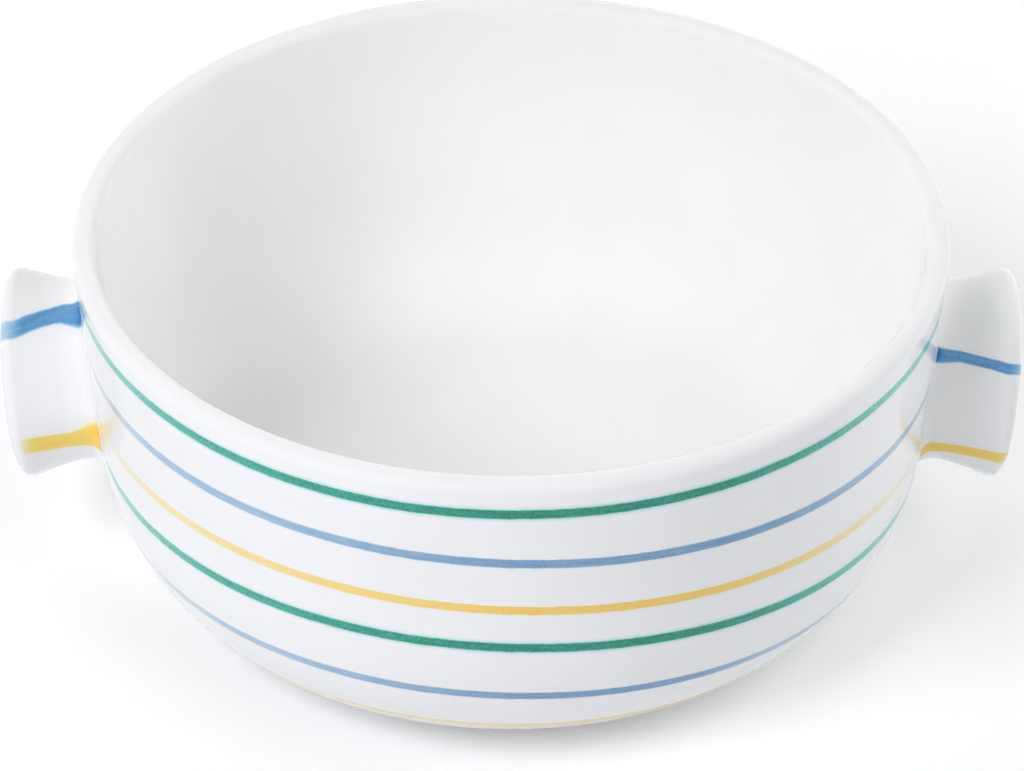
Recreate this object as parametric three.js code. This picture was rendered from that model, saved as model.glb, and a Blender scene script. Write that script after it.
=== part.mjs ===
// A soup bowl of white glazed earthenware with two short flared lug handles and hand-painted bands.
// Millimetres, +Z up. The foot stands on Z = 0 at the origin, and the handles point along X.
// The front of the bowl faces -Y. Depths are measured down from the rim.
import * as THREE from 'three';

// Body of the bowl
const RIM_RADIUS = 70;
const BOWL_HEIGHT = 62.5;
const WALL_THICKNESS = 3.7;
const WALL_TAPER = 0.063; // how much the radius shrinks for each millimetre of depth
const BELLY_DEPTH = 36; // where the wall starts to curve in towards the foot
const BELLY_POWER = 0.37; // a lower power gives a fuller belly
const FOOT_RADIUS = 45;
const FOOT_HEIGHT = 1.8;
const FOOT_WIDTH = 5;
const FOOT_CHAMFER = 0.6;

// Lug handles, with sizes along the axis measured from the wall
const HANDLE_DEPTH = 29.7;
const HANDLE_REACH = 12.8;
const HANDLE_DROOP = 4.4; // degrees below level
const NECK_RADIUS = 14.9;
const END_RADIUS = 17.1;
const END_EDGE_RADIUS = 1.6;
const FLARE_BOW = 0.25; // a straight flare has 0, and one that leaves the neck level has 1
const DISH_DEPTH = 1.6;

// Fillet of slip that joins a lug to the wall
const SLIP_SPREAD = 3; // out over the wall
const SLIP_CLIMB = 2.4; // along the neck
const JOINT_GAP = 0.3;

// Coats of colour
const PAINT_THICKNESS = 0.25;
const PAINT_GAP = 0.15;
const BAND_END_GAP = 1; // from the end of a band to a handle, or to the band's other stroke
const BAND_WIDTH = 1.7;
const BAND_DROP = 2.8; // how much lower a band is at the handle at +X than at the front
const BAND_SAG = 5; // how much lower both its ends are
const STROKE_WIDTH = 2.5;

// Each band's place is its share of the way from the rim to the foot, at the middle of the front.
// The brush makes each one by hand, so its width, drop and sag are shares of those above.
const BANDS = [
  { name: 'green_upper', paint: 'green', place: 0.09, width: 1.1, drop: 0.25, sag: 0.04 },
  { name: 'blue_upper', paint: 'blue', place: 0.25, width: 1, drop: 1, sag: 0.58 },
  { name: 'yellow_upper', paint: 'yellow', place: 0.406, width: 1, drop: 1.04, sag: 0.8 },
  { name: 'green_lower', paint: 'green', place: 0.532, width: 1, drop: 0.96, sag: 1 },
  { name: 'blue_lower', paint: 'blue', place: 0.708, width: 1, drop: 0.9, sag: 0.9 },
  { name: 'yellow_foot', paint: 'yellow', place: 0.866, width: 1.05, drop: 0.36, sag: 0.3 },
];

// Strokes along each lug. Angles go from the front over the top, at the root and at the end.
// A width is a share of the brush's.
const STROKES = {
  right: [
    { name: 'yellow_front', paint: 'yellow', width: 1.1, root: -24, end: -19 },
    { name: 'blue_front', paint: 'blue', width: 0.7, root: 43.5, end: 37.5 },
    { name: 'yellow_back', paint: 'yellow', width: 1.1, root: 148, end: 142 },
    { name: 'blue_back', paint: 'blue', width: 0.8, root: 232, end: 238 },
  ],
  left: [
    { name: 'yellow_front', paint: 'yellow', width: 1.4, root: -15, end: -10 },
    { name: 'blue_front', paint: 'blue', width: 1.3, root: 73.5, end: 59 },
    { name: 'yellow_back', paint: 'yellow', width: 1.2, root: 152, end: 146 },
    { name: 'blue_back', paint: 'blue', width: 1.2, root: 238, end: 231 },
  ],
};

// Fineness of the facets
const BOWL_SEGMENTS = 64;
const BELLY_STEPS = 14;
const LIP_STEPS = 6;
const HANDLE_SEGMENTS = 40;
const ROOT_STEPS = 4;
const FLARE_STEPS = 6;
const EDGE_STEPS = 5;
const DISH_STEPS = 5;
const FILLET_STEPS = 4;
const BAND_STEPS = 30;
const STROKE_STEPS = 8;
const BISECTIONS = 40;
const SLOPE_STEP = 0.05;

const GLAZE = new THREE.MeshStandardMaterial({ color: 0xf1f2f1, roughness: 0.12, metalness: 0 });
const PAINTS = {
  green: new THREE.MeshStandardMaterial({ color: 0x4f9c88, roughness: 0.18, metalness: 0 }),
  blue: new THREE.MeshStandardMaterial({ color: 0x7fa5cc, roughness: 0.18, metalness: 0 }),
  yellow: new THREE.MeshStandardMaterial({ color: 0xf7cd6e, roughness: 0.18, metalness: 0 }),
};

const bodyDepth = BOWL_HEIGHT - FOOT_HEIGHT;
const neckLength = SLIP_CLIMB + 2 * JOINT_GAP;
const degrees = THREE.MathUtils.degToRad;

// Outer radius of the wall: straight and slightly tapered, then drawn in to the foot.
function wallRadius(depth) {
  const fall = THREE.MathUtils.clamp((depth - BELLY_DEPTH) / (bodyDepth - BELLY_DEPTH), 0, 1);
  const drawnIn = 1 - (1 - fall ** 2) ** BELLY_POWER;
  const untouched = RIM_RADIUS - WALL_TAPER * bodyDepth;
  return RIM_RADIUS - WALL_TAPER * depth - (untouched - FOOT_RADIUS) * drawnIn;
}

// Outline of the wall's outside as (radius, height), from the foot up to where the lip rounds over.
function outerWall() {
  const points = [];
  for (let i = 0; i <= BELLY_STEPS; i++) {
    const turn = (Math.PI / 2) * (1 - i / BELLY_STEPS);
    const depth = BELLY_DEPTH + (bodyDepth - BELLY_DEPTH) * Math.sin(turn);
    points.push(new THREE.Vector2(wallRadius(depth), BOWL_HEIGHT - depth));
  }
  const lipDepth = (WALL_THICKNESS / 2) * (1 + Math.sin(Math.atan(WALL_TAPER)));
  points.push(new THREE.Vector2(wallRadius(lipDepth), BOWL_HEIGHT - lipDepth));
  return points;
}

// The same outline moved in by the wall's thickness, square to the wall at each point.
function innerWall(outer) {
  return outer.map((point, i) => {
    const before = outer[Math.max(i - 1, 0)];
    const after = outer[Math.min(i + 1, outer.length - 1)];
    const along = after.clone().sub(before).normalize();
    const inward = new THREE.Vector2(-along.y, along.x);
    return point.clone().addScaledVector(inward, WALL_THICKNESS);
  });
}

// Half circle over the lip, from the outside of the wall to the inside.
function lip(outside, inside) {
  const centre = outside.clone().add(inside).divideScalar(2);
  const start = outside.clone().sub(centre);
  const points = [];
  for (let i = 1; i < LIP_STEPS; i++) {
    const turned = start.clone().rotateAround(new THREE.Vector2(), (Math.PI * i) / LIP_STEPS);
    points.push(turned.add(centre));
  }
  return points;
}

function bowlBody() {
  const outer = outerWall();
  const inner = innerWall(outer);
  const footInside = FOOT_RADIUS - FOOT_WIDTH;
  const underside = [
    new THREE.Vector2(0, FOOT_HEIGHT),
    new THREE.Vector2(footInside, FOOT_HEIGHT),
    new THREE.Vector2(footInside, FOOT_CHAMFER),
    new THREE.Vector2(footInside + FOOT_CHAMFER, 0),
    new THREE.Vector2(FOOT_RADIUS - FOOT_CHAMFER, 0),
    new THREE.Vector2(FOOT_RADIUS, FOOT_CHAMFER),
  ];
  const floorCentre = new THREE.Vector2(0, FOOT_HEIGHT + WALL_THICKNESS);
  const profile = [
    ...underside,
    ...outer,
    ...lip(outer.at(-1), inner.at(-1)),
    ...inner.reverse(),
    floorCentre,
  ];
  return new THREE.LatheGeometry(profile, BOWL_SEGMENTS).rotateX(Math.PI / 2);
}

// Solid through a row of sections with equally many corners. A closed row runs back into its first
// section, and an open one has flat ends. Corners go round anticlockwise, seen from the next section.
function sweep(sections, closed) {
  const corners = sections[0].length;
  const index = [];
  const spans = closed ? sections.length : sections.length - 1;
  for (let i = 0; i < spans; i++) {
    const here = i * corners;
    const next = ((i + 1) % sections.length) * corners;
    for (let j = 0; j < corners; j++) {
      const k = (j + 1) % corners;
      index.push(here + j, here + k, next + k);
      index.push(here + j, next + k, next + j);
    }
  }
  if (!closed) {
    const last = spans * corners;
    for (let j = 1; j < corners - 1; j++) {
      index.push(0, j + 1, j);
      index.push(last, last + j, last + j + 1);
    }
  }
  const geometry = new THREE.BufferGeometry().setFromPoints(sections.flat());
  geometry.setIndex(index);
  geometry.computeVertexNormals();
  return geometry;
}

// The handle's own directions, for the handle at +X
const handleRoot = new THREE.Vector3(wallRadius(HANDLE_DEPTH), 0, BOWL_HEIGHT - HANDLE_DEPTH);
const handleAxis = new THREE.Vector3(Math.cos(degrees(HANDLE_DROOP)), 0, -Math.sin(degrees(HANDLE_DROOP)));
const handleFront = new THREE.Vector3(0, -1, 0);
const handleUp = new THREE.Vector3().crossVectors(handleAxis, handleFront).negate();

function aroundHandle(angle) {
  const front = handleFront.clone().multiplyScalar(Math.cos(angle));
  return front.addScaledVector(handleUp, Math.sin(angle));
}

function handlePoint(along, radius, angle) {
  const point = handleRoot.clone().addScaledVector(handleAxis, along);
  return point.addScaledVector(aroundHandle(angle), radius);
}

// How far along the handle's axis a line beside it leaves the wall by a gap.
function leavesWall(radius, angle, gap) {
  let inside = -RIM_RADIUS;
  let outside = RIM_RADIUS;
  for (let i = 0; i < BISECTIONS; i++) {
    const middle = (inside + outside) / 2;
    const point = handlePoint(middle, radius, angle);
    const clear = Math.hypot(point.x, point.y) - wallRadius(BOWL_HEIGHT - point.z);
    if (clear < gap) {
      inside = middle;
    } else {
      outside = middle;
    }
  }
  return outside;
}

// Outline of the handle as (along, radius): a flare from the neck, a rounded edge and a dished end.
const edgeAlong = HANDLE_REACH - END_EDGE_RADIUS;
const edgeCentreRadius = END_RADIUS - END_EDGE_RADIUS;
const flareMiddle = (neckLength + edgeAlong) / 2;
const flareMiddleRadius = NECK_RADIUS + ((1 - FLARE_BOW) * (END_RADIUS - NECK_RADIUS)) / 2;
const flareSlope = Math.atan2(END_RADIUS - flareMiddleRadius, edgeAlong - flareMiddle);

function edgePoint(turn) {
  const along = edgeAlong + END_EDGE_RADIUS * Math.cos(turn);
  return new THREE.Vector2(along, edgeCentreRadius + END_EDGE_RADIUS * Math.sin(turn));
}

const edgeStart = Math.PI / 2 + flareSlope;
const flare = new THREE.QuadraticBezierCurve(
  new THREE.Vector2(neckLength, NECK_RADIUS),
  new THREE.Vector2(flareMiddle, flareMiddleRadius),
  edgePoint(edgeStart),
);

function handleOutline() {
  const points = flare.getPoints(FLARE_STEPS);
  for (let i = 1; i <= EDGE_STEPS; i++) {
    points.push(edgePoint(edgeStart * (1 - i / EDGE_STEPS)));
  }
  const dish = new THREE.CubicBezierCurve(
    points.at(-1),
    new THREE.Vector2(HANDLE_REACH, (edgeCentreRadius * 2) / 3),
    new THREE.Vector2(HANDLE_REACH - DISH_DEPTH, edgeCentreRadius / 3),
    new THREE.Vector2(HANDLE_REACH - DISH_DEPTH, 0),
  );
  points.push(...dish.getPoints(DISH_STEPS).slice(1));
  return points;
}

// Sections round the handle's axis, each made by a function of its angle.
function aroundSections(sectionAt) {
  const sections = [];
  for (let i = 0; i < HANDLE_SEGMENTS; i++) {
    sections.push(sectionAt((2 * Math.PI * i) / HANDLE_SEGMENTS));
  }
  return sections;
}

// A lug: its root is hollowed to lie along the wall, and its outline turns about its axis.
function handle() {
  const outline = handleOutline();
  const sections = aroundSections((angle) => {
    const section = [];
    for (let i = 0; i <= ROOT_STEPS; i++) {
      const radius = (NECK_RADIUS * i) / ROOT_STEPS;
      section.push(handlePoint(leavesWall(radius, angle, JOINT_GAP), radius, angle));
    }
    outline.forEach((point) => section.push(handlePoint(point.x, point.y, angle)));
    return section;
  });
  return sweep(sections, true);
}

// Slip in the corner between wall and neck, hollowed by a wet finger.
function lutingSlip() {
  const inside = NECK_RADIUS + JOINT_GAP;
  const outside = NECK_RADIUS + SLIP_SPREAD;
  const sections = aroundSections((angle) => {
    const corner = new THREE.Vector2(leavesWall(inside, angle, JOINT_GAP), inside);
    const onWall = new THREE.Vector2(leavesWall(outside, angle, JOINT_GAP), outside);
    const onNeck = new THREE.Vector2(corner.x + SLIP_CLIMB, inside);
    const hollow = new THREE.QuadraticBezierCurve(onWall, corner, onNeck).getPoints(FILLET_STEPS);
    return [corner, ...hollow].map((point) => handlePoint(point.x, point.y, angle));
  });
  return sweep(sections, true);
}

// A coat of colour along a row of places on a surface, each with its point and outward normal.
function brushed(places, width) {
  const sections = places.map((place, i) => {
    const before = places[Math.max(i - 1, 0)];
    const after = places[Math.min(i + 1, places.length - 1)];
    const along = after.point.clone().sub(before.point).normalize();
    const half = place.normal.clone().cross(along).setLength(width / 2);
    const low = place.point.clone().addScaledVector(place.normal, PAINT_GAP);
    const high = place.point.clone().addScaledVector(place.normal, PAINT_GAP + PAINT_THICKNESS);
    return [low.clone().sub(half), low.clone().add(half), high.clone().add(half), high.clone().sub(half)];
  });
  return sweep(sections, false);
}

// A place on a band, at an angle round the bowl from +X.
function bandPlace(band, angle) {
  const across = Math.cos(angle);
  const drop = BAND_DROP * band.drop * across;
  const sag = BAND_SAG * band.sag * across ** 2;
  const depth = band.place * bodyDepth + drop + sag;
  const radius = wallRadius(depth);
  const spread = wallRadius(depth + SLOPE_STEP) - wallRadius(depth - SLOPE_STEP);
  const point = new THREE.Vector3(radius * across, radius * Math.sin(angle), BOWL_HEIGHT - depth);
  const normal = new THREE.Vector3(across, Math.sin(angle), spread / (2 * SLOPE_STEP)).normalize();
  return { point, normal };
}

// Whether a band's place is clear of the handle at +X (side 1) or -X (side -1).
function clearOfHandle(band, angle, side) {
  const { point } = bandPlace(band, angle);
  const fromRoot = point.multiply(new THREE.Vector3(side, 1, 1)).sub(handleRoot);
  const fromAxis = fromRoot.cross(handleAxis).length();
  return fromAxis > NECK_RADIUS + SLIP_SPREAD + (BAND_WIDTH * band.width) / 2 + BAND_END_GAP;
}

// The angle where a stroke from the middle of the front (facing -1) or the back (facing 1) ends.
function bandEnd(band, facing, side) {
  const middle = (facing * Math.PI) / 2;
  const handleAngle = side > 0 ? 0 : facing * Math.PI;
  const lift = (Math.sign(middle - handleAngle) * BAND_END_GAP) / RIM_RADIUS;
  let painted = middle;
  let limit = handleAngle + lift;
  if (clearOfHandle(band, limit, side)) {
    return limit;
  }
  for (let i = 0; i < BISECTIONS; i++) {
    const tried = (painted + limit) / 2;
    if (clearOfHandle(band, tried, side)) {
      painted = tried;
    } else {
      limit = tried;
    }
  }
  return painted;
}

function bandStroke(band, facing) {
  const start = bandEnd(band, facing, 1);
  const end = bandEnd(band, facing, -1);
  const places = [];
  for (let i = 0; i <= BAND_STEPS; i++) {
    places.push(bandPlace(band, start + ((end - start) * i) / BAND_STEPS));
  }
  return brushed(places, BAND_WIDTH * band.width);
}

// A stroke along the flare of the handle at +X. Mirrored, it suits the front of the other handle.
function handleStroke(stroke, mirrored) {
  const places = [];
  for (let i = 0; i <= STROKE_STEPS; i++) {
    const share = i / STROKE_STEPS;
    const seen = degrees(THREE.MathUtils.lerp(stroke.root, stroke.end, share));
    const angle = mirrored ? Math.PI - seen : seen;
    const place = flare.getPoint(share);
    const run = flare.getTangent(share);
    const normal = aroundHandle(angle).multiplyScalar(run.x).addScaledVector(handleAxis, -run.y);
    places.push({ point: handlePoint(place.x, place.y, angle), normal });
  }
  return brushed(places, STROKE_WIDTH * stroke.width);
}

function addPiece(group, name, geometry, material) {
  const mesh = new THREE.Mesh(geometry, material);
  mesh.name = name;
  group.add(mesh);
}

const soupBowl = new THREE.Group();
addPiece(soupBowl, 'bowl_body', bowlBody(), GLAZE);

for (const band of BANDS) {
  addPiece(soupBowl, `band_${band.name}_front`, bandStroke(band, -1), PAINTS[band.paint]);
  addPiece(soupBowl, `band_${band.name}_back`, bandStroke(band, 1), PAINTS[band.paint]);
}

for (const [side, strokes] of Object.entries(STROKES)) {
  const mirrored = side === 'left';
  const lug = new THREE.Group();
  lug.rotation.z = mirrored ? Math.PI : 0;
  addPiece(lug, `handle_${side}`, handle(), GLAZE);
  addPiece(lug, `luting_slip_${side}`, lutingSlip(), GLAZE);
  for (const stroke of strokes) {
    const name = `handle_${side}_stroke_${stroke.name}`;
    addPiece(lug, name, handleStroke(stroke, mirrored), PAINTS[stroke.paint]);
  }
  soupBowl.add(lug);
}

export default soupBowl;
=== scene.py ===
# A soup bowl in white glaze, with two flared lug handles and hand-painted bands of colour.
import math

import bpy
import numpy as np
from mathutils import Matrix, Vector


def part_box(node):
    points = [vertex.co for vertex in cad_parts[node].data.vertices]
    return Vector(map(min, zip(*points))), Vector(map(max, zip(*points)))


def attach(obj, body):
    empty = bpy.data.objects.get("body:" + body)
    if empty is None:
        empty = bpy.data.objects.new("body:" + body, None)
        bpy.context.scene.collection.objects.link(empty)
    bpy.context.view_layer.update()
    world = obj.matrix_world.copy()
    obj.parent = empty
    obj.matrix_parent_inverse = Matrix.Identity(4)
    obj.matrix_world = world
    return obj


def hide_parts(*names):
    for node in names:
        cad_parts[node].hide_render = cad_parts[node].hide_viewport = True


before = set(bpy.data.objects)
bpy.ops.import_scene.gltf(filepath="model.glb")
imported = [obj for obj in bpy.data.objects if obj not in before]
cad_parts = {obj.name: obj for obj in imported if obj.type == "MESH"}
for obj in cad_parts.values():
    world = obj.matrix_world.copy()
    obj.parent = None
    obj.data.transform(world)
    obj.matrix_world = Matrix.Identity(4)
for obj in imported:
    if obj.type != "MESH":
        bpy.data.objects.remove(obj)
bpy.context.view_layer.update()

# Sizes are in millimetres, as in the CAD model. MM turns them into metres when a mesh is made.
# The bowl stands on Z = 0 with its front towards -Y. Depths are measured down from the rim.
MM = 0.001
RIM_RADIUS = 70
BOWL_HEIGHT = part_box("bowl_body")[1].z / MM
WALL_THICKNESS = 3.7
WALL_TAPER = 0.063
BELLY_DEPTH = 36
BELLY_POWER = 0.37
FOOT_RADIUS = 45
FOOT_HEIGHT = 1.8
FOOT_WIDTH = 5
FOOT_ROUNDING = 0.6
FOOT_FILLET = 0.8
BELLY_CLEARANCE = 1.5  # how far past the foot the belly starts, in fillets
BODY_DEPTH = BOWL_HEIGHT - FOOT_HEIGHT

# Lug handles, with sizes along the axis measured from the wall
HANDLE_DEPTH = 29.7
HANDLE_REACH = 12.78
HANDLE_DROOP = math.radians(4.4)
NECK_RADIUS = 14.9
NECK_LENGTH = 3
END_RADIUS = 17.1
END_EDGE_RADIUS = 1.6
FLARE_BOW = 0.25  # a straight flare has 0, and one that leaves the neck level has 1
DISH_DEPTH = 1.6
SLIP_SPREAD = 3
SLIP_CLIMB = 2.4
ROOT_SUNK = 1.5

# Painted bands, as in the CAD model. A band's width, drop and sag are shares of these three lengths,
# and its place is a share of the way down from the rim to the foot.
BAND_WIDTH = 1.7
BAND_DROP = 2.8
BAND_SAG = 5
BANDS = [
    dict(name="green_upper", paint="green", place=0.09, width=1, drop=0.25, sag=0.04),
    dict(name="blue_upper", paint="blue", place=0.25, width=1, drop=1, sag=0.58),
    dict(name="yellow_upper", paint="yellow", place=0.406, width=1, drop=1.04, sag=0.8),
    dict(name="green_lower", paint="green", place=0.532, width=1, drop=0.96, sag=1),
    dict(name="blue_lower", paint="blue", place=0.708, width=1, drop=0.9, sag=0.9),
    dict(name="yellow_foot", paint="yellow", place=0.866, width=1.05, drop=0.36, sag=0.3),
]

# How much colour each band shows, at shares of the way from the middle to the left (-) or right (+).
# Towards the lugs the bands grow paler. That is partly the brush leaving less colour, and partly painted
# reflection: a paleness that stands in for glare reflected in the glaze at the sides.
GREEN_LOADS_AND_PAINTED_GLARE = [(-0.95, 0.3), (-0.82, 0.44), (-0.72, 0.63), (0, 1), (0.4, 1), (0.74, 0.52), (0.9, 0.3)]
BAND_LOADS_AND_PAINTED_GLARE = {
    "green_upper": GREEN_LOADS_AND_PAINTED_GLARE,
    "blue_upper": [(-0.95, 0.27), (-0.84, 0.42), (-0.76, 0.6), (-0.55, 0.62), (0, 1), (0.5, 1), (0.9, 0.5)],
    "yellow_upper": [(-0.95, 0.14), (-0.8, 0.42), (0, 1), (0.4, 1), (0.76, 0.44), (0.9, 0.2)],
    "green_lower": GREEN_LOADS_AND_PAINTED_GLARE,
    "blue_lower": [
        (-0.82, 0.24), (-0.72, 0.42), (0, 0.96), (0.1, 1.05), (0.4, 1.05), (0.58, 0.6), (0.8, 0.4),
    ],
    "yellow_foot": [(-0.8, 0.27), (0, 0.6), (0.4, 0.6), (0.85, 0.33)],
}
BAND_END_FADE = 3  # how far before a lug's slip the brush starts to lift off

# Strokes along each lug, with angles in degrees from the front over the top, at the root and at the end.
# Where the brush sets down at the root, its blob widens the stroke on its upper and lower side.
STROKE_WIDTH = 2.5
STROKES = {
    "right": [
        dict(name="yellow_front", paint="yellow", width=1.1, root=-24, end=-19, blob=(0.2, 0.2)),
        dict(name="blue_front", paint="blue", width=0.7, root=43.5, end=37.5, blob=(0.3, 0.6)),
        dict(name="yellow_back", paint="yellow", width=1.1, root=148, end=142, blob=(0.3, 0.4)),
        dict(name="blue_back", paint="blue", width=0.8, root=232, end=238, blob=(0.5, 0.3)),
    ],
    "left": [
        dict(name="yellow_front", paint="yellow", width=1.4, root=-15, end=-10, blob=(1.6, 0.1)),
        dict(name="blue_front", paint="blue", width=1.3, root=73.5, end=59, blob=(0.1, 1.2)),
        dict(name="yellow_back", paint="yellow", width=1.2, root=152, end=146, blob=(0.3, 0.3)),
        dict(name="blue_back", paint="blue", width=1.2, root=238, end=231, blob=(0.4, 0.3)),
    ],
}
BLOB_RUN = 3.2
STROKE_LOAD = 1.25
ROOT_POOL = 0.9  # extra colour where the brush sets down
ROOT_POOL_RUN = 1.3

# How far before the lug's edge the brush starts to lift off, and what share of the colour it then loses
STROKE_LIFT = (0, 0.65)
EARLY_LIFTS = {("left", "yellow_front"): (1.8, 1), ("left", "blue_front"): (1.4, 0.7)}
STROKE_LIFT_RUN = 3.3
STROKE_END_POWER = 4  # the higher it is, the later the rest of the colour ends on the lug's end

# Each stroke takes its streaks from another place, which follows from its angle at the root.
STREAK_STEP = 20
STREAK_SPAN = 97

# A coat of colour lies in the glaze: it stands barely proud of it, and its film reaches past the paint.
COAT_LIFT = 0.04
COAT_EDGE = 0.02  # how far the film's edges lie under the glaze
COAT_SUNK = 0.2
COAT_REACH = 2.2  # half the film's width, in halves of the paint's width
COAT_COLUMNS = 12

# Fineness of the meshes
BOWL_SEGMENTS = 320
BELLY_STEPS = 40
WALL_STEPS = 14
LIP_STEPS = 16
ARC_STEPS = 6
FLAT_RINGS = 6
INNERMOST_RING = 1  # its radius
LUG_SEGMENTS = 96
FILLET_STEPS = 10
FLARE_STEPS = 18
EDGE_STEPS = 14
DISH_STEPS = 14
STROKE_DISH_STEPS = 4  # how far a stroke runs on over the dished end
STROKE_FIRST_ROW = 3
STROKE_LAST_ROW = FILLET_STEPS + FLARE_STEPS + EDGE_STEPS + STROKE_DISH_STEPS
DENSE_STEPS = 1500
BISECTIONS = 40
SHARP_ANGLE = math.radians(40)
BAKE_MARGIN = 0.02  # share of the bake map for the fan at each end

# Camera, fitted to the rim, the outline and the handles
CAMERA_PLACE = (0.12, -522.2, 415.0)
CAMERA_AIM = (0.12, 0, 29.04)
CAMERA_LENS = 138.8
CAMERA_SENSOR = 36

# Colours, linear
GLAZE_COLOUR = (0.918, 0.912, 0.902)
# The inside's glaze is a lighter, warmer copy of the outside's: painted light that stands in for more light
# inside.
LIGHTENED_INSIDE_GLAZE_COLOUR = (0.962, 0.957, 0.944)
CLAY_COLOUR = (0.7, 0.6, 0.47)
PAINT_COLOURS = {
    "green": (0.02, 0.3, 0.205),
    "blue": (0.2, 0.36, 0.56),
    "lug_blue": (0.17, 0.4, 0.65),
    "yellow": (0.94, 0.63, 0.15),
    "lug_yellow": (0.95, 0.72, 0.19),
}
FLOOR_COLOUR = (0.865, 0.88, 0.895)


# Meshes

def loft(name, sections, closed=False):
    """Mesh through rings of points, in millimetres. An open row of rings ends in a fan at each end.

    Returns the object and, for each face corner, its row and column before they wrap round.
    """
    rows, columns = sections.shape[:2]
    spans = rows if closed else rows - 1
    faces = []
    corners = []
    for i in range(spans):
        for j in range(columns):
            square = [(i, j), (i, j + 1), (i + 1, j + 1), (i + 1, j)]
            faces.append([(row % rows) * columns + column % columns for row, column in square])
            corners += square
    points = sections.reshape(-1, 3)
    if not closed:
        points = np.vstack([points, sections[0].mean(0), sections[-1].mean(0)])
        first, last = rows * columns, rows * columns + 1
        top = (rows - 1) * columns
        for j in range(columns):
            after = (j + 1) % columns
            faces.append([first, after, j])
            corners += [(-1, j + 0.5), (0, j + 1), (0, j)]
            faces.append([last, top + j, top + after])
            corners += [(rows, j + 0.5), (rows - 1, j), (rows - 1, j + 1)]
    mesh = bpy.data.meshes.new(name)
    mesh.from_pydata((points * MM).tolist(), [], faces)
    mesh.polygons.foreach_set("use_smooth", [True] * len(mesh.polygons))
    mesh.set_sharp_from_angle(angle=SHARP_ANGLE)
    piece = bpy.data.objects.new(name, mesh)
    bpy.context.scene.collection.objects.link(piece)
    return piece, np.array(corners)


def add_map(piece, name, places):
    layer = piece.data.uv_layers.new(name=name)
    layer.uv.foreach_set("vector", np.asarray(places, np.float32).ravel())


def add_values(piece, name, values, columns):
    """A value for each ring of points, and for the middles of the fans."""
    layer = piece.data.attributes.new(name, "FLOAT", "POINT")
    rings = np.repeat(values, columns)
    fans = len(piece.data.vertices) - len(rings)
    each = np.concatenate([rings, [values[0], values[-1]][:fans]])
    layer.data.foreach_set("value", each.astype(np.float32))


def running(steps):
    """Distance run along rows of points, from 0 to 1, averaged over the columns."""
    lengths = np.linalg.norm(np.diff(steps, axis=0), axis=-1).mean(1)
    run = np.concatenate([[0], np.cumsum(lengths)])
    return run / run[-1]


def add_bake_map(piece, sections, corners, closed=False):
    """An even map for the whole skin: columns across and rows up, with a narrow strip for each fan."""
    columns = sections.shape[1]
    ring = np.concatenate([sections, sections[:1]], axis=0) if closed else sections
    girth = np.concatenate([sections, sections[:, :1]], axis=1).transpose(1, 0, 2)
    along = BAKE_MARGIN + (1 - 2 * BAKE_MARGIN) * running(ring)
    if not closed:
        along = np.concatenate([along, [1]])
    up = np.interp(corners[:, 0], np.arange(len(along)), along)
    up[corners[:, 0] < 0] = 0
    across = np.interp(corners[:, 1], np.arange(columns + 1), running(girth))
    add_map(piece, "OFBake", np.column_stack([across, up]))


def dress(piece, material, slot, *nodes):
    """Gives a piece its material and lets it stand for nodes of the CAD model, which it hides. The slot is
    not used.
    """
    piece.data.materials.append(material)
    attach(piece, "root")
    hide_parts(*nodes)


def arc(centre, radius, start, end, steps):
    """Points on an arc as (radius, height), with angles in quarter turns from outward to up."""
    turn = np.linspace(start, end, steps + 1) * math.pi / 2
    return np.column_stack([centre[0] + radius * np.cos(turn), centre[1] + radius * np.sin(turn)])


def bezier(steps, *points):
    """Points along a Bezier curve of any degree."""
    share = np.linspace(0, 1, steps + 1)[:, None]
    rows = [np.array(point, float)[None, :] for point in points]
    while len(rows) > 1:
        rows = [a * (1 - share) + b * share for a, b in zip(rows, rows[1:])]
    return rows[0]


# Bowl

def wall_radius(depth):
    """Outer radius of the wall: straight and slightly tapered, then drawn in to the foot."""
    fall = np.clip((depth - BELLY_DEPTH) / (BODY_DEPTH - BELLY_DEPTH), 0, 1)
    drawn_in = 1 - (1 - fall**2) ** BELLY_POWER
    untouched = RIM_RADIUS - WALL_TAPER * BODY_DEPTH
    return RIM_RADIUS - WALL_TAPER * depth - (untouched - FOOT_RADIUS) * drawn_in


def outer_wall(belly_steps, wall_steps, top_depth):
    """Outline of the outside as (radius, height), from the foot up to a depth under the rim."""
    turn = np.linspace(math.pi / 2, 0, belly_steps + 1)
    belly = BELLY_DEPTH + (BODY_DEPTH - BELLY_DEPTH) * np.sin(turn)
    straight = np.linspace(BELLY_DEPTH, top_depth, wall_steps + 1)[1:]
    depth = np.concatenate([belly, straight])
    return np.column_stack([wall_radius(depth), BOWL_HEIGHT - depth])


def outward(outline):
    """Unit normals of an outline that runs up the outside."""
    along = np.gradient(outline, axis=0)
    along /= np.linalg.norm(along, axis=1)[:, None]
    return np.column_stack([along[:, 1], -along[:, 0]])


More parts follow.
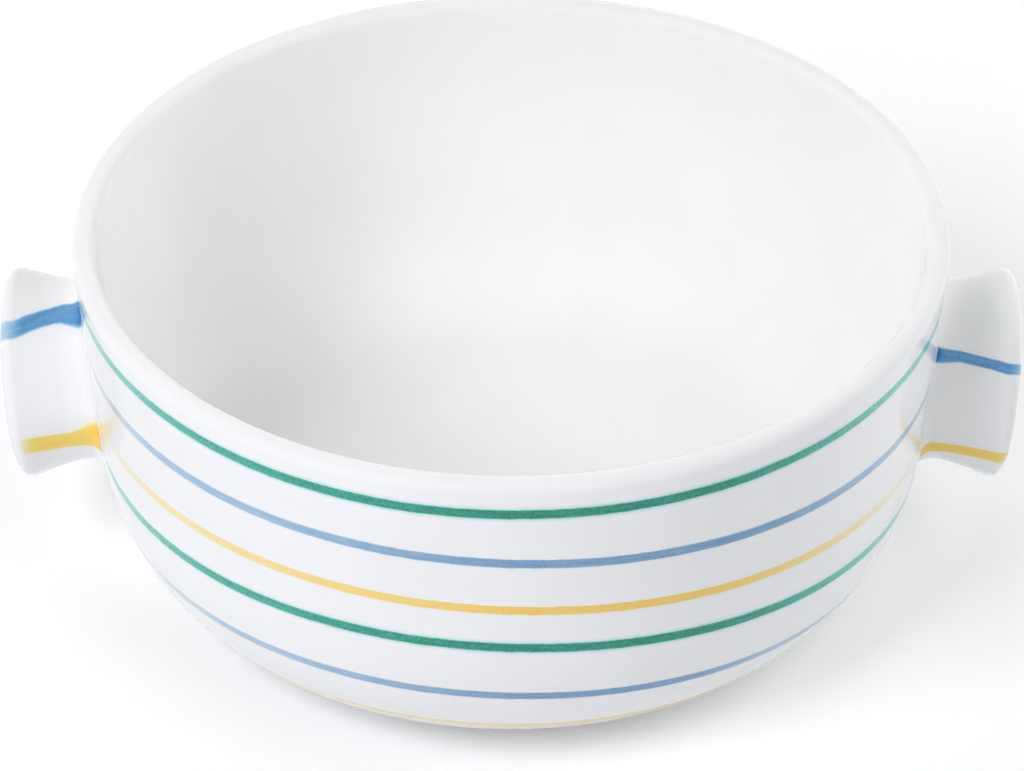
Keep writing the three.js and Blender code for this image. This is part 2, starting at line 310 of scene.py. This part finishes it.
def bowl_outline():
    """The whole section, from the middle of the underside round to the middle of the floor."""
    slope = math.atan(WALL_TAPER)
    lip_radius = WALL_THICKNESS / 2
    outer = outer_wall(BELLY_STEPS, WALL_STEPS, lip_radius * (1 + math.sin(slope)))
    inner = outer - WALL_THICKNESS * outward(outer)
    lip_centre = (outer[-1] + inner[-1]) / 2
    tilt = slope / (math.pi / 2)
    lip = arc(lip_centre, lip_radius, -tilt, 2 - tilt, LIP_STEPS)[1:-1]
    foot_inside = FOOT_RADIUS - FOOT_WIDTH
    rings = np.linspace(INNERMOST_RING, foot_inside - FOOT_FILLET, FLAT_RINGS)[:-1]
    underside = np.column_stack([rings, np.full_like(rings, FOOT_HEIGHT)])
    low = FOOT_HEIGHT - FOOT_FILLET
    foot = [
        arc((foot_inside - FOOT_FILLET, low), FOOT_FILLET, 1, 0, ARC_STEPS),
        arc((foot_inside + FOOT_ROUNDING, FOOT_ROUNDING), FOOT_ROUNDING, 2, 3, ARC_STEPS),
        arc((FOOT_RADIUS - FOOT_ROUNDING, FOOT_ROUNDING), FOOT_ROUNDING, -1, 0, ARC_STEPS),
        arc((FOOT_RADIUS + FOOT_FILLET, low), FOOT_FILLET, 2, 1, ARC_STEPS),
    ]
    belly = outer[outer[:, 0] > FOOT_RADIUS + BELLY_CLEARANCE * FOOT_FILLET]
    rings = np.linspace(inner[0, 0], INNERMOST_RING, FLAT_RINGS)[1:]
    floor = np.column_stack([rings, np.full_like(rings, inner[0, 1])])
    return np.vstack([underside, *foot, belly, lip, inner[::-1], floor])


def turned(outline, angles):
    """Rings of points where an outline turns about the bowl's axis."""
    radius = outline[:, None, 0]
    height = np.broadcast_to(outline[:, None, 1], (len(outline), len(angles)))
    return np.stack([radius * np.cos(angles), radius * np.sin(angles), height], axis=-1)


def make_bowl(material):
    angles = np.linspace(0, 2 * math.pi, BOWL_SEGMENTS, endpoint=False)
    outline = bowl_outline()
    sections = turned(outline, angles)
    bowl, corners = loft("glazed_bowl", sections)
    add_bake_map(bowl, sections, corners)
    past_crest = np.arange(len(outline)) - outline[:, 1].argmax()
    # The inside takes the lighter, warmer copy of the glaze, which is painted light.
    add_values(bowl, "inside", np.clip(2 * past_crest / LIP_STEPS, 0, 1), BOWL_SEGMENTS)
    add_values(bowl, "bare", np.clip(1 - outline[:, 1] / FOOT_ROUNDING, 0, 1), BOWL_SEGMENTS)
    dress(bowl, material, "white_glaze", "bowl_body")


# Coats of colour

def make_coat(name, points, normals, brush, load_and_painted_glare, closed, material, slot, nodes):
    """A film along a row of places. Columns run across it; brush is run and side, and the last value
    gives the pigment for each row, which on the bands also holds painted reflection, a paleness for glare.

    The brush map holds the distance run in millimetres, and the side in halves of the paint's width.
    """
    crown = 1 - np.linspace(-1, 1, points.shape[1])[:, None] ** 2
    skin = points + ((COAT_LIFT + COAT_EDGE) * crown - COAT_EDGE) * normals
    low = points[:, [-1, 0]] - COAT_SUNK * normals[:, [-1, 0]]
    sections = np.concatenate([skin, low], axis=1)
    coat, corners = loft(name, sections, closed)
    add_bake_map(coat, sections, corners, closed)
    columns = points.shape[1]
    rows = np.clip(corners[:, 0], 0, len(brush) - 1).astype(int)
    column = np.clip(corners[:, 1], 0, columns - 1).astype(int)
    add_map(coat, "brush", brush[rows, column])
    add_values(coat, "load_and_painted_glare", load_and_painted_glare, sections.shape[1])
    dress(coat, material, slot, *nodes)


def make_band(band, material):
    """A band round the wall, which is lower at the right and sags towards both lugs."""
    outline = outer_wall(DENSE_STEPS, DENSE_STEPS, 0)[::-1]
    normals = outward(outline[::-1])[::-1]
    run = np.concatenate([[0], np.cumsum(np.linalg.norm(np.diff(outline, axis=0), axis=1))])
    seam = math.pi / 2  # at the back
    angles = seam + np.linspace(0, 2 * math.pi, BOWL_SEGMENTS, endpoint=False)
    across = np.cos(angles)
    drop = BAND_DROP * band["drop"] * across
    sag = BAND_SAG * band["sag"] * across**2
    depth = band["place"] * BODY_DEPTH + drop + sag
    half = BAND_WIDTH * band["width"] / 2
    side = np.linspace(-COAT_REACH, COAT_REACH, COAT_COLUMNS + 1)
    place = np.interp(depth, BOWL_HEIGHT - outline[:, 1], run)[:, None] + half * side
    radius = np.interp(place, run, outline[:, 0])
    height = np.interp(place, run, outline[:, 1])
    lean = np.interp(place, run, normals[:, 0])
    lift = np.interp(place, run, normals[:, 1])
    cosine = across[:, None]
    sine = np.sin(angles)[:, None]
    points = np.stack([radius * cosine, radius * sine, height], axis=-1)
    facing = np.stack([lean * cosine, lean * sine, lift], axis=-1)
    turns = np.linspace(0, 2 * math.pi * RIM_RADIUS, BOWL_SEGMENTS + 1)
    brush = np.stack(np.broadcast_arrays(turns[:, None], side[None, :]), axis=-1)
    nodes = [f"band_{band['name']}_front", f"band_{band['name']}_back"]
    # On the bands, this value is partly pigment and partly painted reflection: paleness that stands in for
    # glare.
    load_and_painted_glare = np.interp(across, *np.transpose(BAND_LOADS_AND_PAINTED_GLARE[band["name"]]))
    load_and_painted_glare *= np.clip(past_slip(points[:, COAT_COLUMNS // 2]) / BAND_END_FADE, 0, 1)
    name = "painted_band_" + band["name"]
    make_coat(name, points, facing, brush, load_and_painted_glare, True, material, band["paint"] + "_colour", nodes)


# Lug handles

HANDLE_ROOT = np.array([wall_radius(HANDLE_DEPTH), 0, BOWL_HEIGHT - HANDLE_DEPTH])
HANDLE_AXIS = np.array([math.cos(HANDLE_DROOP), 0, -math.sin(HANDLE_DROOP)])
HANDLE_FRONT = np.array([0, -1, 0])
HANDLE_UP = np.array([math.sin(HANDLE_DROOP), 0, math.cos(HANDLE_DROOP)])


def around_handle(angle):
    return np.cos(angle)[..., None] * HANDLE_FRONT + np.sin(angle)[..., None] * HANDLE_UP


def handle_point(along, radius, angle):
    return HANDLE_ROOT + along[..., None] * HANDLE_AXIS + radius[..., None] * around_handle(angle)


def past_slip(points):
    """How far points on the wall lie outside the edge of the nearer lug's slip."""
    beside = np.abs(points) - HANDLE_ROOT
    off_axis = np.linalg.norm(np.cross(beside, HANDLE_AXIS), axis=-1)
    return off_axis - NECK_RADIUS - SLIP_SPREAD


def leaves_wall(radius, angle, gap):
    """How far along the handle's axis lines beside it leave the wall by a gap."""
    radius = np.full_like(angle, radius)
    inside = np.full_like(angle, -RIM_RADIUS)
    outside = np.full_like(angle, RIM_RADIUS)
    for _ in range(BISECTIONS):
        middle = (inside + outside) / 2
        point = handle_point(middle, radius, angle)
        clear = np.hypot(point[..., 0], point[..., 1]) - wall_radius(BOWL_HEIGHT - point[..., 2])
        inside = np.where(clear < gap, middle, inside)
        outside = np.where(clear < gap, outside, middle)
    return outside


def lug_body():
    """Outline past the neck as (along, radius): a flare, a rounded edge and a dished end."""
    edge_along = HANDLE_REACH - END_EDGE_RADIUS
    edge_radius = END_RADIUS - END_EDGE_RADIUS
    middle = (NECK_LENGTH + edge_along) / 2
    middle_radius = NECK_RADIUS + (1 - FLARE_BOW) * (END_RADIUS - NECK_RADIUS) / 2
    slope = math.atan2(END_RADIUS - middle_radius, edge_along - middle)
    edge_start = 1 + slope / (math.pi / 2)
    edge = arc((edge_along, edge_radius), END_EDGE_RADIUS, edge_start, 0, EDGE_STEPS)
    flare = bezier(FLARE_STEPS, (NECK_LENGTH, NECK_RADIUS), (middle, middle_radius), edge[0])
    dish_floor = HANDLE_REACH - DISH_DEPTH
    dish = bezier(
        DISH_STEPS,
        edge[-1],
        (HANDLE_REACH, edge_radius * 2 / 3),
        (dish_floor, edge_radius / 3),
        (dish_floor, 0),
    )
    return np.vstack([flare, edge[1:], dish[1:-1]])


def lug_outlines(angle):
    """Rows of (along, radius) at each angle, from the slip's edge on the wall to the end's middle."""
    spread = NECK_RADIUS + SLIP_SPREAD
    corner = leaves_wall(NECK_RADIUS, angle, 0)
    on_wall = leaves_wall(spread, angle, 0)
    share = np.linspace(0, 1, FILLET_STEPS + 1).reshape((-1,) + (1,) * angle.ndim)
    along = on_wall * (1 - share) ** 2 + 2 * corner * share * (1 - share) + (corner + SLIP_CLIMB) * share**2
    radius = spread * (1 - share) ** 2 + NECK_RADIUS * (1 - (1 - share) ** 2)
    fillet = np.stack([along, radius + 0 * along], axis=-1)
    body = lug_body().reshape((-1,) + (1,) * angle.ndim + (2,))
    body = np.broadcast_to(body, body.shape[:1] + angle.shape + (2,))
    return np.concatenate([fillet, body])


def turned_left(points):
    """The lug at -X is the same one turned half round."""
    return points * np.array([-1, -1, 1])


def make_lug(side, material):
    """A lug and its slip as one skin, with its root sunk into the wall."""
    angles = np.linspace(2 * math.pi, 0, LUG_SEGMENTS, endpoint=False)
    rows = lug_outlines(angles)
    sunk = leaves_wall(NECK_RADIUS + SLIP_SPREAD, angles, -ROOT_SUNK)
    root = np.stack([sunk, rows[0, :, 1]], axis=-1)[None]
    rows = np.concatenate([root, rows])
    sections = handle_point(rows[..., 0], rows[..., 1], angles)
    if side == "left":
        sections = turned_left(sections)
    lug, corners = loft("glazed_lug_" + side, sections)
    add_bake_map(lug, sections, corners)
    dress(lug, material, "white_glaze", "handle_" + side, "luting_slip_" + side)


def make_stroke(side, stroke, material):
    """A stroke that starts on a lug's slip and runs out over its edge."""
    rows = np.arange(STROKE_FIRST_ROW, STROKE_LAST_ROW + 1)
    flare_start = FILLET_STEPS + 1 - STROKE_FIRST_ROW
    flare_end = flare_start + FLARE_STEPS
    mirrored = 1 if side == "left" else -1
    about = np.radians([(stroke["root"] + stroke["end"]) / 2])
    middle = lug_outlines(math.pi - about if side == "left" else about)[rows, 0]
    run = np.concatenate([[0], np.cumsum(np.linalg.norm(np.diff(middle, axis=0), axis=1))])
    share = np.interp(run, [run[flare_start], run[flare_end]], [0, 1])
    seen = np.radians(stroke["root"] + (stroke["end"] - stroke["root"]) * share)
    centre = math.pi - seen if side == "left" else seen
    reach = np.linspace(-COAT_REACH, COAT_REACH, COAT_COLUMNS + 1)
    upper, lower = stroke["blob"]
    blob = np.where(mirrored * reach > 0, upper, lower)
    swell = 1 + blob * np.exp(-((run / BLOB_RUN) ** 2))[:, None]
    half = STROKE_WIDTH * stroke["width"] / 2 * swell
    angle = centre[:, None] - half * reach / middle[:, 1:2]
    outlines = lug_outlines(angle)
    along = np.gradient(outlines, axis=0)
    pick = (rows[:, None], np.arange(len(rows))[:, None], np.arange(len(reach))[None, :])
    place = outlines[pick]
    along = along[pick]
    points = handle_point(place[..., 0], place[..., 1], angle)
    facing = along[..., 0:1] * around_handle(angle) - along[..., 1:2] * HANDLE_AXIS
    facing /= np.linalg.norm(facing, axis=-1, keepdims=True)
    if side == "left":
        points = turned_left(points)
        facing = turned_left(facing)
    over_edge = np.clip((run - run[flare_end]) / (run[-1] - run[flare_end]), 0, 1)
    early, thinning = EARLY_LIFTS.get((side, stroke["name"]), STROKE_LIFT)
    lifted = np.clip((run - run[flare_end] + early) / STROKE_LIFT_RUN, 0, 1)
    load_and_painted_glare = STROKE_LOAD + ROOT_POOL * np.exp(-((run / ROOT_POOL_RUN) ** 2))
    load_and_painted_glare *= 1 - thinning * np.sin(lifted * math.pi / 2)
    load_and_painted_glare *= 1 - over_edge**STROKE_END_POWER
    offset = STREAK_STEP * stroke["root"] % STREAK_SPAN
    brush = np.stack(np.broadcast_arrays((run + offset)[:, None], -mirrored * reach[None, :]), axis=-1)
    name = f"painted_stroke_{side}_{stroke['name']}"
    nodes = [f"handle_{side}_stroke_{stroke['name']}"]
    slot = stroke["paint"] + "_colour"
    make_coat(name, points, facing, brush, load_and_painted_glare, False, material, slot, nodes)


# Materials

# A Mix node has sockets of the same names for each kind of value. These are its colours.
MIX_FIRST = 6
MIX_SECOND = 7
MIX_RESULT = 2


class Nodes:
    """Short calls that add nodes to a tree. An input takes a number, a colour or another node's output."""

    def __init__(self, owner):
        owner.use_nodes = True
        self.tree = owner.node_tree
        self.tree.nodes.clear()

    def add(self, kind, inputs=(), output=0, **settings):
        node = self.tree.nodes.new(kind)
        for name, value in settings.items():
            setattr(node, name, value)
        for key, value in dict(inputs).items():
            if isinstance(value, bpy.types.NodeSocket):
                self.tree.links.new(value, node.inputs[key])
            else:
                node.inputs[key].default_value = value
        return node.outputs[output] if node.outputs else None

    def math(self, operation, *values):
        return self.add("ShaderNodeMath", enumerate(values), operation=operation)

    def vector(self, operation, *values):
        return self.add("ShaderNodeVectorMath", enumerate(values), operation=operation)

    def scaled(self, vector, factor):
        return self.add("ShaderNodeVectorMath", {"Vector": vector, "Scale": factor}, operation="SCALE")

    def noise(self, vector, scale=1, detail=2):
        return self.add("ShaderNodeTexNoise", {"Vector": vector, "Scale": scale, "Detail": detail})

    def remap(self, value, low, high, to_low=0.0, to_high=1.0):
        inputs = {"Value": value, "From Min": low, "From Max": high, "To Min": to_low, "To Max": to_high}
        return self.add("ShaderNodeMapRange", inputs, interpolation_type="SMOOTHSTEP")

    def value(self, name):
        """A value that the mesh holds, which is 0 where it holds none."""
        return self.add("ShaderNodeAttribute", attribute_name=name, output="Fac")

    def mixed(self, share, first, second):
        inputs = {"Factor": share, MIX_FIRST: first, MIX_SECOND: second}
        return self.add("ShaderNodeMix", inputs, output=MIX_RESULT, data_type="RGBA")

    def place(self):
        """The place on the object, in millimetres."""
        return self.scaled(self.add("ShaderNodeTexCoord", output="Object"), 1 / MM)

    def seen(self):
        """1 for what is seen straight or in a reflection, and 0 for the light that it sheds."""
        light = self.add("ShaderNodeLightPath").node
        return self.math("MAXIMUM", light.outputs["Is Camera Ray"], light.outputs["Is Glossy Ray"])


NOISE_MIDDLE = 0.5
NOISE_SPAN = (0.3, 0.7)  # where nearly all of a noise's values lie

# Glaze and bare clay, with the scales of their noises per millimetre
GLAZE_CLOUD = 0.05
GLAZE_TONE = (0.98, 1.0)
GLAZE_PATCH = 0.15
GLAZE_ROUGHNESS = (0.06, 0.12)
GLAZE_RIPPLE = 0.28
GLAZE_RIPPLE_HEIGHT = 0.02 * MM
GLAZE_IOR = 1.5
CLAY_GRAIN = 1.6
CLAY_TONE = (0.8, 1.0)
CLAY_ROUGHNESS = 0.7
CLAY_EDGE = (0.4, 0.6)
CLAY_EDGE_WANDER = 0.5


def glaze_colour(nodes, place, colour):
    cloud = nodes.noise(place, GLAZE_CLOUD)
    return nodes.scaled(colour, nodes.remap(cloud, *NOISE_SPAN, *GLAZE_TONE))


def glaze_shader(nodes, place, colour, bare=None):
    """Glassy and slightly rippled. Where bare is 1, it is dull."""
    patch = nodes.noise(place, GLAZE_PATCH)
    gloss = nodes.remap(patch, *NOISE_SPAN, *GLAZE_ROUGHNESS)
    if bare:
        gloss = nodes.math("MAXIMUM", gloss, nodes.math("MULTIPLY", bare, CLAY_ROUGHNESS))
    ripple = nodes.noise(place, GLAZE_RIPPLE, detail=1)
    ripple = {"Height": ripple, "Distance": GLAZE_RIPPLE_HEIGHT, "Strength": 1}
    normal = nodes.add("ShaderNodeBump", ripple)
    inputs = {"Base Color": colour, "Roughness": gloss, "Normal": normal, "IOR": GLAZE_IOR}
    shader = nodes.add("ShaderNodeBsdfPrincipled", inputs)
    nodes.add("ShaderNodeOutputMaterial", {"Surface": shader})


def glaze_material():
    material = bpy.data.materials.new("white_glaze")
    nodes = Nodes(material)
    place = nodes.place()
    # The inside is painted lighter and warmer than the outside, standing in for more light there.
    white = nodes.mixed(nodes.value("inside"), (*GLAZE_COLOUR, 1), (*LIGHTENED_INSIDE_GLAZE_COLOUR, 1))
    grain = nodes.noise(place, CLAY_GRAIN)
    clay = nodes.scaled(CLAY_COLOUR, nodes.remap(grain, *NOISE_SPAN, *CLAY_TONE))
    uneven = nodes.math("SUBTRACT", grain, NOISE_MIDDLE)
    bare = nodes.math("MULTIPLY_ADD", uneven, CLAY_EDGE_WANDER, nodes.value("bare"))
    bare = nodes.remap(bare, *CLAY_EDGE)
    glaze_shader(nodes, place, nodes.mixed(bare, glaze_colour(nodes, place, white), clay), bare)
    return material


# Paint, with scales and places in the brush map's units: millimetres along, halves of the width across
PAINT_WANDER_SCALE = 0.06
PAINT_WANDER = 0.16
PAINT_EDGE_SCALES = (0.45, 0.3, 0)
PAINT_EDGE_SPAN = (0.25, 0.75)
PAINT_EDGES = (0.95, 1.05)
PAINT_FADE = (0.74, 1.16)
PAINT_STREAK_SCALES = (0.12, 1.6, 0)
PAINT_STREAK_LOADS = (0.88, 1.1)
PAINT_HALO_REACH = (1, 1.9)
PAINT_HALO = 0.03
GREEN_HALO = 0.12
PAINT_GRAIN = 2  # per millimetre on the bowl
PAINT_GRAIN_LOADS = {
    "green": (0.84, 1.12),
    "blue": (0.92, 1.06),
    "lug_blue": (0.94, 1.05),
    "yellow": (0.92, 1.06),
    "lug_yellow": (0.92, 1.06),
}


def paint_material(paint):
    """Colour that the glaze has taken in: the more pigment, the more light it takes away."""
    material = bpy.data.materials.new(paint + "_colour")
    nodes = Nodes(material)
    place = nodes.place()
    brush = nodes.add("ShaderNodeUVMap", uv_map="brush")
    split = nodes.add("ShaderNodeSeparateXYZ", {"Vector": brush}).node
    side = split.outputs["Y"]
    wander = nodes.noise(nodes.scaled(brush, PAINT_WANDER_SCALE), detail=1)
    wander = nodes.math("SUBTRACT", wander, NOISE_MIDDLE)
    off = nodes.math("ABSOLUTE", nodes.math("MULTIPLY_ADD", wander, PAINT_WANDER, side))
    edge = nodes.noise(nodes.vector("MULTIPLY", brush, PAINT_EDGE_SCALES))
    half = nodes.remap(edge, *PAINT_EDGE_SPAN, *PAINT_EDGES)
    out = nodes.math("DIVIDE", off, half)
    body = nodes.remap(out, *PAINT_FADE, 1, 0)
    streaks = nodes.noise(nodes.vector("MULTIPLY", brush, PAINT_STREAK_SCALES), detail=3)
    body = nodes.math("MULTIPLY", body, nodes.remap(streaks, *NOISE_SPAN, *PAINT_STREAK_LOADS))
    grain = nodes.noise(place, PAINT_GRAIN, detail=1)
    body = nodes.math("MULTIPLY", body, nodes.remap(grain, *NOISE_SPAN, *PAINT_GRAIN_LOADS[paint]))
    halo = nodes.remap(out, *PAINT_HALO_REACH, GREEN_HALO if paint == "green" else PAINT_HALO, 0)
    density = nodes.math("ADD", body, halo)
    # On the bands, the mesh's value is partly pigment and partly painted reflection, paleness that stands
    # in for glare.
    density = nodes.math("MULTIPLY", density, nodes.value("load_and_painted_glare"))
    passed = [
        nodes.math("POWER", colour / white, density)
        for colour, white in zip(PAINT_COLOURS[paint], GLAZE_COLOUR)
    ]
    passed = nodes.add("ShaderNodeCombineXYZ", enumerate(passed))
    glaze_shader(nodes, place, nodes.vector("MULTIPLY", glaze_colour(nodes, place, GLAZE_COLOUR), passed))
    return material


# The bowl and what is on it

glaze = glaze_material()
paints = {paint: paint_material(paint) for paint in PAINT_COLOURS}
make_bowl(glaze)
for band in BANDS:
    make_band(band, paints[band["paint"]])
for side, strokes in STROKES.items():
    make_lug(side, glaze)
    for stroke in strokes:
        make_stroke(side, stroke, paints["lug_" + stroke["paint"]])


# Stage, light and camera

# Lamps, with distance and size in metres, power in watts and angles in degrees
LAMP_DISTANCE = 1
LAMP_SIZE = 0.8
LAMPS = [
    dict(name="key", azimuth=312, elevation=45, power=5.2, colour=(0.985, 0.985, 1.03), size=0.45),
    dict(name="low_key", azimuth=330, elevation=15, power=2.7, colour=(0.95, 0.98, 1.07)),
    dict(name="right_fill", azimuth=60, elevation=45, power=3.1, colour=(0.99, 1.01, 1)),
    dict(name="right", azimuth=120, elevation=15, power=6.6, colour=(0.97, 0.98, 1.05)),
    dict(name="back_fill", azimuth=210, elevation=45, power=2.4, colour=(1.01, 1, 0.99)),
    dict(name="back", azimuth=210, elevation=15, power=3.2, colour=(1.02, 1, 0.98)),
]
WORLD_LIGHT = 0.02  # the light that the world sheds, which is seen as white
FLOOR_HALF = 3  # metres
FLOOR_GLOW_NEAR = (0.19, 0.177, 0.158)
FLOOR_GLOW_AWAY = (1, 1, 1)  # where the lamps don't reach
FLOOR_GLOW_REACH = (350, 1300)  # millimetres from the bowl's axis


def make_floor():
    """A floor that takes shadows, and looks lighter than it is and white far away."""
    mesh = bpy.data.meshes.new("floor")
    corners = [(-1, -1), (1, -1), (1, 1), (-1, 1)]
    mesh.from_pydata([(x * FLOOR_HALF, y * FLOOR_HALF, 0) for x, y in corners], [], [(0, 1, 2, 3)])
    floor = bpy.data.objects.new("floor", mesh)
    bpy.context.scene.collection.objects.link(floor)
    material = bpy.data.materials.new("floor")
    nodes = Nodes(material)
    diffuse = nodes.add("ShaderNodeBsdfDiffuse", {"Color": (*FLOOR_COLOUR, 1)})
    apart = nodes.add("ShaderNodeVectorMath", {"Vector": nodes.place()}, output="Value", operation="LENGTH")
    away = nodes.remap(apart, *FLOOR_GLOW_REACH)
    glow = nodes.mixed(away, (*FLOOR_GLOW_NEAR, 1), (*FLOOR_GLOW_AWAY, 1))
    glow = nodes.add("ShaderNodeEmission", {"Color": glow, "Strength": nodes.seen()})
    both = nodes.add("ShaderNodeAddShader", enumerate([diffuse, glow]))
    nodes.add("ShaderNodeOutputMaterial", {"Surface": both})
    mesh.materials.append(material)


def make_light(name, azimuth, elevation, power, colour, size=LAMP_SIZE):
    """A soft box that reflections miss. Its azimuth runs from the front over the right."""
    data = bpy.data.lights.new(name, "AREA")
    data.size = size
    data.energy = power
    data.color = colour
    light = bpy.data.objects.new(name, data)
    turn, rise = math.radians(azimuth), math.radians(elevation)
    towards = Vector((math.sin(turn) * math.cos(rise), -math.cos(turn) * math.cos(rise), math.sin(rise)))
    light.location = LAMP_DISTANCE * towards + Vector((0, 0, BOWL_HEIGHT * MM / 2))
    light.rotation_euler = towards.to_track_quat("Z", "Y").to_euler()
    light.visible_glossy = False
    bpy.context.scene.collection.objects.link(light)


def make_world():
    """White where it is seen, straight or in a reflection, and nearly dark as a light."""
    world = bpy.data.worlds.new("studio")
    bpy.context.scene.world = world
    nodes = Nodes(world)
    ambient = nodes.add("ShaderNodeBackground", {"Color": (1, 1, 1, 1), "Strength": WORLD_LIGHT})
    backdrop = nodes.add("ShaderNodeBackground", {"Color": (1, 1, 1, 1), "Strength": 1})
    mixed = nodes.add("ShaderNodeMixShader", enumerate([nodes.seen(), ambient, backdrop]))
    nodes.add("ShaderNodeOutputWorld", {"Surface": mixed})


def make_camera():
    data = bpy.data.cameras.new("camera")
    data.lens = CAMERA_LENS
    data.sensor_width = CAMERA_SENSOR
    data.sensor_fit = "HORIZONTAL"
    camera = bpy.data.objects.new("camera", data)
    camera.location = Vector(CAMERA_PLACE) * MM
    aim = Vector(CAMERA_AIM) * MM
    camera.rotation_euler = (aim - camera.location).to_track_quat("-Z", "Y").to_euler()
    bpy.context.scene.collection.objects.link(camera)
    bpy.context.scene.camera = camera


make_camera()
make_floor()
make_world()
for lamp in LAMPS:
    make_light(**lamp)
bpy.context.scene.view_settings.view_transform = "Standard"
